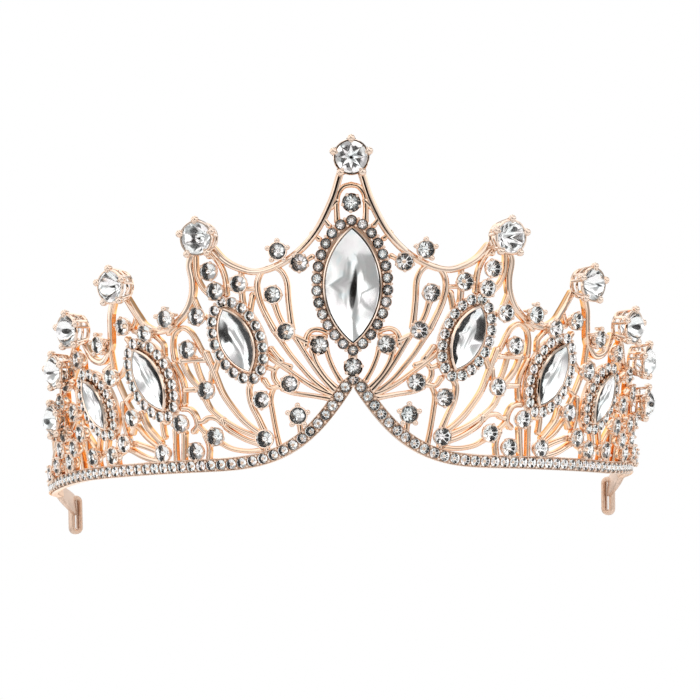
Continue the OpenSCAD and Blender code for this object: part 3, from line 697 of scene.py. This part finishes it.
def marquise_setting(b, q):
    """Back plate, bezel and halo cups with the small beads between them."""
    base = marquise_seat(q, 0)

    def put(x, y, out):
        return base @ Vector((x, y, out))

    ring = halo_ring(q, 40)
    plate = [(1.0, -0.7), (1.9, -0.6), (1.9, 0.4), (1.0, 0.5), (-0.6, 0.5), (-0.85, 0.3), (-0.85, -0.45),
             (-0.6, -0.7)]
    sweep(b, ring, plate, put, closed=True, mat=BRUSHED)
    wall = vesica_path(q[3] + 0.25, q[4] + 0.25, 26)
    top = MARQUISE_OUT
    bezel = [(-0.16, -0.4), (0.12, -0.4), (0.12, top - 0.1), (0.26, top + 0.12), (0.14, top + 0.34),
             (-0.08, top + 0.36), (-0.36, top + 0.1), (-0.5, 0.5)]
    sweep(b, wall, bezel, put, closed=True)
    places = halo_places(q)
    for i, p in enumerate(places):
        at = marquise_seat(q, HALO_OUT) @ Matrix.Translation((p.x, p.y, 0))
        cup(b, at, HALO_STONE_D, 0.1, 0.15, 16)
        n = places[(i + 1) % len(places)]
        mid = (p + n) / 2
        along = (n - p).normalized()
        for s in (-1, 1):
            bead = marquise_seat(q, HALO_OUT + 0.16) @ Matrix.Translation(
                (mid.x - s * along.y * 0.92, mid.y + s * along.x * 0.92, 0))
            ball(b, bead, 0.4, 1.3)


def band_line(across):
    """Height of the band's middle line: level, rising to the notch between the heart's lobes."""
    reach = math.hypot(across, NOTCH_ROUND)
    rise = NOTCH_HEIGHT * (1 - reach / LOBE_REACH) ** 3.46 if reach < LOBE_REACH else 0.0
    return BAND_HEIGHT / 2 + rise


def band_places():
    """Band crystals for one side: arc positions at an even pitch along the band's line."""
    places = []
    across = 0.0
    length = 0.0
    goal = 0.0
    step = 0.05
    while across < BAND_REACH:
        if length >= goal:
            places.append((across, len(places)))
            goal += BAND_PITCH
        length += math.hypot(step, band_line(across + step) - band_line(across))
        across += step
    return [p[0] for p in places]


def band_metal(b):
    """Channel strip over the heart front, small beads between its stones, and the two tails."""
    half = BAND_HEIGHT / 2
    path = []
    reach = 1.7
    while reach < BAND_REACH:
        path.append(Vector((reach, band_line(reach))))
        reach += 0.8 if reach < LOBE_REACH else 2.0
    path.append(Vector((BAND_REACH, band_line(BAND_REACH))))
    path = [Vector((-p.x, p.y)) for p in reversed(path)] + [Vector((0, band_line(0)))] + path
    back = -BAND_THICKNESS / 2
    lip = 0.26
    front = -back
    profile = [(half - 0.2, back), (half, back + 0.2), (half, front - 0.12), (half - 0.07, front),
               (half - lip + 0.05, front),
               (half - lip - 0.04, front - 0.15), (half - lip - 0.08, 0.35), (lip + 0.08 - half, 0.35),
               (lip + 0.04 - half, front - 0.15), (lip - 0.05 - half, front), (0.07 - half, front),
               (-half, front - 0.12), (-half, back + 0.2), (0.2 - half, back)]
    sweep(b, path, profile, wall_point, mat=BRUSHED)
    places = band_places()
    for side in (-1, 1):
        b.side = side
        for i, u in enumerate(places[:-1]):
            v = places[i + 1]
            mid = Vector(((u + v) / 2, (band_line(u) + band_line(v)) / 2))
            t = Vector((v - u, band_line(v) - band_line(u))).normalized()
            for s in (-1, 1):
                bead = seat(mid.x - s * t.y * 1.02, mid.y + s * t.x * 1.02, BAND_OUT + 0.12)
                ball(b, bead, 0.33, 1.0)
        tail(b)
    b.side = 1


def tail(b):
    """Plain sheet that carries the band on and widens downwards to the end loop."""
    steps = 22
    start = BAND_REACH - 1.5
    path = []
    widths = []
    depths = []
    for i in range(steps + 1):
        t = i / steps
        low = 0.05 - 3.7 * t ** 0.7
        high = BAND_HEIGHT - 0.05 - 0.9 * t * t
        path.append(Vector((start + (TAIL_REACH - start) * t, (low + high) / 2)))
        widths.append((high - low) / 2)
        depths.append(1 - 0.25 * t)
    profile = [(0.9, -0.8), (1, -0.55), (1, 0.55), (0.9, 0.8), (-0.9, 0.8), (-1, 0.55), (-1, -0.55),
               (-0.9, -0.8)]
    sweep(b, path, profile, wall_point, widths=widths, depths=depths, mat=SATIN)


def end_loop(b):
    """Rounded upright eye with a narrow slot, swept about its own middle line."""
    tall = 10.6
    wide = 3.6
    slot = 0.7
    thick = (wide - slot) / 2
    bend = (wide - thick) / 2
    straight = (tall - wide) / 2
    base = seat(TAIL_REACH, tall / 2 - LOOP_DROP, -0.5, turn=-28, tip=-7)
    base = base @ Matrix.Rotation(math.pi / 2, 4, "Y")
    line = []
    steps = 10
    for i in range(steps + 1):
        a = math.pi * i / steps
        line.append(Vector((bend * math.cos(a), straight + bend * math.sin(a))))
    for i in range(steps + 1):
        a = math.pi + math.pi * i / steps
        line.append(Vector((bend * math.cos(a), bend * math.sin(a) - straight)))
    profile = []
    for k in range(14):
        a = 2 * math.pi * k / 14
        c = math.cos(a)
        s = math.sin(a)
        across = thick / 2 * math.copysign(abs(c) ** 0.8, c)
        profile.append((across, 1.2 + 1.5 * math.copysign(abs(s) ** 0.7, s)))
    sweep(b, line, profile, lambda x, y, out: base @ Vector((x, y, out)), closed=True, mat=SATIN)


def wires(b, table):
    """Cast wires that differ a little in width and depth and swell where they join."""
    for i, w in enumerate(table):
        depth = WIRE_DEPTH + 0.16 * (i % 3)
        curve = spline(w, 6 if len(w) > 2 else 4)
        width = WIRE_WIDTH * (0.92 + 0.16 * chance(i, 3))
        count = len(curve)
        swell = [1 + 0.22 * (abs(2 * k / (count - 1) - 1)) ** 6 for k in range(count)]
        sweep(b, curve, half_round(width, depth, 8, 0.28), wall_point, widths=swell, tips=True)


def crest(b, s):
    """One swag of the crest rail."""
    curve = spline(s, 7)
    sweep(b, curve, half_round(RAIL_WIDTH, RAIL_DEPTH, 10, 0.24), wall_point, tips=True)


# ---- Materials ----
def node(tree, kind, x, y, **values):
    """New shader node at a place in the tree."""
    n = tree.nodes.new(kind)
    n.location = (x, y)
    for key, value in values.items():
        setattr(n, key, value)
    return n


def material(name):
    """New material, with its tree and its main shader."""
    mat = bpy.data.materials.new(name)
    mat.use_nodes = True
    return mat, mat.node_tree, mat.node_tree.nodes["Principled BSDF"]


def noise(tree, coord, scale, x, y, detail=2.0):
    """Noise in the object's own coordinates; scale is in cycles to the metre."""
    n = node(tree, "ShaderNodeTexNoise", x, y)
    n.inputs["Scale"].default_value = scale
    n.inputs["Detail"].default_value = detail
    tree.links.new(coord.outputs["Object"], n.inputs["Vector"])
    return n


def roughness(tree, source, bsdf, low, high, x, y):
    """Spreads a noise over a range of roughness."""
    n = node(tree, "ShaderNodeMapRange", x, y)
    n.inputs["To Min"].default_value = low
    n.inputs["To Max"].default_value = high
    tree.links.new(source.outputs["Fac"], n.inputs["Value"])
    tree.links.new(n.outputs["Result"], bsdf.inputs["Roughness"])


def gold(name, pale, deep, low, high, grain, bump):
    """Rose-gold plating with a fine cast surface, pale on raised edges and deep in the recesses: a random cloud
    varies the tone, and the "deep" point attribute adds painted reflection, the orange of light bounced between
    the parts, towards the wall.

    low and high bound the roughness, grain is the scale of the surface and bump its depth in metres.
    """
    mat, tree, bsdf = material(name)
    bsdf.inputs["Metallic"].default_value = 1.0
    coord = node(tree, "ShaderNodeTexCoord", -1100, 0)
    cloud = noise(tree, coord, 240, -900, 200, 3)
    fine = noise(tree, coord, grain, -900, -200, 4)
    # Random tone from the cloud plus the painted bounce-light mask; the mix below paints the deep orange of
    # inter-reflection into the recesses.
    attr = node(tree, "ShaderNodeAttribute", -900, 420, attribute_name="deep")
    cloud_and_painted_bounce = node(tree, "ShaderNodeMath", -700, 380, operation="MULTIPLY_ADD", use_clamp=True)
    cloud_and_painted_bounce.inputs[1].default_value = 0.35
    ramp = node(tree, "ShaderNodeMix", -480, 300, data_type="RGBA")
    ramp.inputs["A"].default_value = (*pale, 1)
    ramp.inputs["B"].default_value = (*deep, 1)
    tree.links.new(cloud.outputs["Fac"], cloud_and_painted_bounce.inputs[0])
    tree.links.new(attr.outputs["Fac"], cloud_and_painted_bounce.inputs[2])
    tree.links.new(cloud_and_painted_bounce.outputs[0], ramp.inputs["Factor"])
    tree.links.new(ramp.outputs["Result"], bsdf.inputs["Base Color"])
    roughness(tree, fine, bsdf, low, high, -480, 0)
    relief = node(tree, "ShaderNodeBump", -260, -260)
    relief.inputs["Strength"].default_value = 0.5
    relief.inputs["Distance"].default_value = bump
    tree.links.new(fine.outputs["Fac"], relief.inputs["Height"])
    tree.links.new(relief.outputs["Normal"], bsdf.inputs["Normal"])
    return mat


def glass(name):
    """Cut glass with a faint cool tint and traces of haze."""
    mat, tree, bsdf = material(name)
    bsdf.inputs["Transmission Weight"].default_value = 1.0
    bsdf.inputs["IOR"].default_value = 1.55
    coord = node(tree, "ShaderNodeTexCoord", -900, 0)
    cloud = noise(tree, coord, 160, -700, 0)
    tint = node(tree, "ShaderNodeMix", -400, 120, data_type="RGBA")
    tint.inputs["A"].default_value = (0.97, 0.99, 1.0, 1)
    tint.inputs["B"].default_value = (1.0, 0.985, 0.97, 1)
    tree.links.new(cloud.outputs["Fac"], tint.inputs["Factor"])
    tree.links.new(tint.outputs["Result"], bsdf.inputs["Base Color"])
    roughness(tree, cloud, bsdf, 0.0, 0.04, -400, -120)
    return mat


def foil(name):
    """Silvered back of a stone, with the slight colour play of its coating."""
    mat, tree, bsdf = material(name)
    bsdf.inputs["Metallic"].default_value = 1.0
    coord = node(tree, "ShaderNodeTexCoord", -900, 0)
    cloud = noise(tree, coord, 420, -700, 0)
    ramp = node(tree, "ShaderNodeValToRGB", -450, 60)
    stops = ramp.color_ramp.elements
    stops[0].position = 0.34
    stops[0].color = (0.90, 0.95, 0.96, 1)
    stops[1].position = 0.66
    stops[1].color = (0.98, 0.95, 0.96, 1)
    middle = stops.new(0.5)
    middle.color = (0.98, 0.98, 0.97, 1)
    tree.links.new(cloud.outputs["Fac"], ramp.inputs["Fac"])
    tree.links.new(ramp.outputs["Color"], bsdf.inputs["Base Color"])
    roughness(tree, cloud, bsdf, 0.04, 0.13, -450, -160)
    return mat


# In the order of the material slots POLISHED, SATIN and BRUSHED, and of GLASS and FOIL.
# The second colour of each is painted reflection: the orange that light bounced between the metal parts gives
# the recesses. The satin's is close to its first.
METAL = [
    gold("rose_gold_polished", (0.83, 0.73, 0.66), (0.98, 0.46, 0.11), 0.02, 0.09, 1400, 0.00002),
    gold("rose_gold_satin", (0.74, 0.56, 0.45), (0.72, 0.53, 0.41), 0.34, 0.50, 2600, 0.00006),
    gold("rose_gold_brushed", (0.90, 0.76, 0.66), (0.93, 0.60, 0.38), 0.24, 0.38, 2000, 0.00004),
]
STONE = [glass("crystal_glass"), foil("crystal_foil")]


# ---- Pieces ----
SIDES = ((-1, "left"), (1, "right"))


def build(name, nodes, jobs, materials):
    """Makes one piece; each job is a side and a function that draws on that side."""
    b = Build()
    for side, job in jobs:
        b.side = side
        job(b)
    b.make(name, materials, nodes)


def metals(name, node_name, jobs):
    build(name, [node_name], jobs, METAL)


def stones(name, node_name, jobs):
    build(name, [node_name], jobs, STONE)


def both(draw, places):
    """Jobs that draw every place on both sides."""
    return [(side, lambda b, p=p: draw(b, p)) for side in (-1, 1) for p in places]


def round_stone(across, up, out, d, i, pavilion):
    """Job for a round stone, turned and tipped a little by chance."""
    m = seat(across, up, out, spin=360 * chance(i), tip=7 * (chance(i, 1) - 0.5))
    return lambda b: brilliant(b, m, d, pavilion)


def marquise_pieces(tag, side, q):
    """Setting and stone of one marquise."""
    metals("bezel_" + tag, "marquise_setting_" + tag, [(side, lambda b: marquise_setting(b, q))])
    stones("navette_" + tag, "marquise_crystal_" + tag,
           [(side, lambda b: navette(b, marquise_seat(q, MARQUISE_OUT), q[3], q[4]))])


def halo_stones(b, q, i):
    """Small stones of one halo, turned, tipped and cut a little differently by chance."""
    for k, p in enumerate(halo_places(q)):
        m = marquise_seat(q, HALO_OUT) @ Matrix.Translation((p.x, p.y, 0))
        m = m @ Matrix.Rotation(7 * math.radians(chance(k, i) - 0.5), 4, "X")
        m = m @ Matrix.Rotation(6.28 * chance(k, i + 9), 4, "Z")
        brilliant(b, m, HALO_STONE_D, 0.38 + 0.06 * chance(k, i + 4))


def finial_pieces(tag, side, f, i):
    """Basket and stone of one finial; every other stone is turned by half a facet."""
    across, up, out, turn = f
    cup_seat = seat(across, up, out, turn)
    stone_seat = seat(across, up, out, turn, spin=90 + 22.5 * (i % 2), tip=3 * (chance(i, 5) - 0.5))
    metals("basket_" + tag, "finial_cup_" + tag, [(side, lambda b: basket(b, cup_seat, FINIAL_D))])
    stones("finial_stone_" + tag, "finial_crystal_" + tag,
           [(side, lambda b: brilliant(b, stone_seat, FINIAL_D, 0.51, table=0.46, crown=0.25))])


def accent_pieces(word, side, places):
    """Round cups of one side, and all its accent stones with those of the stars."""
    key = 100 * (side + 2)
    cups = []
    crystals = []
    for i, (across, up) in enumerate(places):
        at = seat(across, up, ACCENT_OUT)
        cups.append((side, lambda b, at=at, i=i: clawed_cup(b, at, ACCENT_D, 6.28 * chance(i, 7))))
        cut = 0.39 + 0.05 * chance(i, key)
        crystals.append((side, round_stone(across, up, ACCENT_OUT, ACCENT_D, key + i, cut)))
    for i, (across, up) in enumerate(STARS):
        crystals.append((side, round_stone(across, up, STAR_OUT, ACCENT_D, key + 60 + i, 0.44)))
    metals("round_cups_" + word, "accent_cups_" + word, cups)
    stones("accent_stones_" + word, "accent_crystals_" + word, crystals)


def band_stones(word, side):
    """Row of stones in one half of the band; the one at the tip of the notch belongs to the right half."""
    key = 100 * (side + 2)
    row = band_places()
    if side < 0:
        row = row[1:]
    jobs = []
    for i, across in enumerate(row):
        cut = 0.37 + 0.06 * chance(i, key)
        jobs.append((side, round_stone(across, band_line(across), BAND_OUT, BAND_D, 5 * key + i, cut)))
    stones("band_stones_" + word, "band_crystals_" + word, jobs)


metals("band", "base_band", [(1, band_metal)])
for side, word in SIDES:
    metals("end_eye_" + word, "end_loop_" + word, [(side, end_loop)])
metals("crest", "crest_rail", both(crest, SWAGS))
metals("filigree_middle_front", "filigree_center", both(wires, [CENTRE_WIRES]))
for side, word in SIDES:
    for part, table in (("inner", INNER_WIRES), ("middle", MIDDLE_WIRES), ("outer", OUTER_WIRES)):
        panel = word + "_" + part
        metals("wires_" + panel, "filigree_" + panel, [(side, lambda b, table=table: wires(b, table))])

marquise_pieces("center", 1, CENTRE_MARQUISE)
stones("halo_stones_center", "halo_crystals_center", [(1, lambda b: halo_stones(b, CENTRE_MARQUISE, 0))])
for side, word in SIDES:
    jobs = []
    for i, q in enumerate(MARQUISES):
        marquise_pieces(word + "_" + str(i + 1), side, q)
        jobs.append((side, lambda b, q=q, key=20 * (side + 2) + i: halo_stones(b, q, key)))
    stones("halo_stones_" + word, "halo_crystals_" + word, jobs)

finial_pieces("center", 1, CENTRE_FINIAL, 0)
for side, word in SIDES:
    for i, (across, up, out, turn) in enumerate(FINIALS):
        push = PUSHED[side][i]
        finial_pieces(word + "_" + str(i + 1), side, (across + push[0], up + push[1], out, turn), i + 1)

for side, word in SIDES:
    accent_pieces(word, side, ACCENTS + (CENTRE_ACCENTS if side > 0 else []))
    band_stones(word, side)
metals("star_cup_set", "star_cups", both(star_cup, STARS))


# ---- Studio ----
def studio():
    """White tent of brighter and duller panels with a dark round opening in front.

    The camera itself sees plain white.
    """
    world = bpy.data.worlds.new("tent")
    bpy.context.scene.world = world
    world.use_nodes = True
    tree = world.node_tree
    back = tree.nodes["Background"]
    coord = node(tree, "ShaderNodeTexCoord", -1200, 0)
    link = tree.links.new
    facing = node(tree, "ShaderNodeVectorMath", -1000, 0, operation="DOT_PRODUCT")
    facing.inputs[1].default_value = (-0.03, -0.982, -0.185)
    dark = node(tree, "ShaderNodeMapRange", -800, 0, interpolation_type="SMOOTHSTEP")
    dark.inputs["From Min"].default_value = math.cos(math.radians(15))
    dark.inputs["From Max"].default_value = math.cos(math.radians(12.5))
    link(coord.outputs["Generated"], facing.inputs[0])
    link(facing.outputs["Value"], dark.inputs["Value"])
    panels = node(tree, "ShaderNodeTexNoise", -1000, -300)
    panels.inputs["Scale"].default_value = 2.2
    panels.inputs["Detail"].default_value = 0.6
    glow = node(tree, "ShaderNodeMapRange", -800, -300, interpolation_type="SMOOTHSTEP")
    glow.inputs["From Min"].default_value = 0.38
    glow.inputs["From Max"].default_value = 0.60
    glow.inputs["To Min"].default_value = 0.42
    glow.inputs["To Max"].default_value = 1.5
    tent = node(tree, "ShaderNodeMix", -560, 0, data_type="RGBA")
    tent.inputs["B"].default_value = (0.012, 0.010, 0.009, 1)
    light = node(tree, "ShaderNodeLightPath", -560, 300)
    pick = node(tree, "ShaderNodeMix", -320, 0, data_type="RGBA")
    pick.inputs["B"].default_value = (1, 1, 1, 1)
    link(coord.outputs["Generated"], panels.inputs["Vector"])
    link(panels.outputs["Fac"], glow.inputs["Value"])
    link(dark.outputs["Result"], tent.inputs["Factor"])
    link(glow.outputs["Result"], tent.inputs["A"])
    link(light.outputs["Is Camera Ray"], pick.inputs["Factor"])
    link(tent.outputs["Result"], pick.inputs["A"])
    link(pick.outputs["Result"], back.inputs["Color"])


def stage_floor():
    """Small pale disc well below the tiara, so that it does not hide the dark opening in reflections."""
    radius = 0.5
    level = -0.22
    sides = 64
    ring = []
    for k in range(sides):
        a = 2 * math.pi * k / sides
        ring.append((radius * math.cos(a), radius * math.sin(a), level))
    floor = bpy.data.meshes.new("floor")
    floor.from_pydata(ring, [], [tuple(range(sides))])
    ground = bpy.data.objects.new("floor", floor)
    bpy.context.scene.collection.objects.link(ground)
    pale, _, bsdf = material("floor_pale")
    bsdf.inputs["Base Color"].default_value = (0.93, 0.93, 0.93, 1)
    bsdf.inputs["Roughness"].default_value = 0.8
    floor.materials.append(pale)
    ground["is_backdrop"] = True


def camera():
    """Long lens in front of the tiara, a little below the band's plane; angles are in radians."""
    lens = 150.6276
    sensor = 36
    yaw = 0.031337
    tilt = -0.106698
    roll = -0.015290
    shift = -1.892
    height = 36.503
    distance = 777.66
    right = Vector((math.cos(yaw), -math.sin(yaw), 0))
    ahead = Vector((math.sin(yaw), math.cos(yaw), 0))
    zenith = Vector((0, 0, 1))
    spot = -shift * right - distance * math.cos(tilt) * ahead + (height + distance * math.sin(tilt)) * zenith
    forward = math.cos(tilt) * ahead - math.sin(tilt) * zenith
    top = math.sin(tilt) * ahead + math.cos(tilt) * zenith
    across = math.cos(roll) * right + math.sin(roll) * top
    over = -math.sin(roll) * right + math.cos(roll) * top
    turn = Matrix.Rotation(PITCH, 3, "X")
    axes = Matrix((turn @ across, turn @ over, turn @ -forward)).transposed().to_4x4()
    data = bpy.data.cameras.new("camera")
    data.sensor_width = sensor
    data.lens = lens
    data.clip_end = 20
    cam = bpy.data.objects.new("camera", data)
    cam.matrix_world = Matrix.Translation((STAND @ spot) / 1000) @ axes
    bpy.context.scene.collection.objects.link(cam)
    bpy.context.scene.camera = cam


studio()
stage_floor()
camera()
bpy.context.scene.view_settings.view_transform = "Standard"

boxes = {"cad": cad_box, "visual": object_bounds()}
{key: [list(map(float, p)) for p in box] for key, box in boxes.items()}
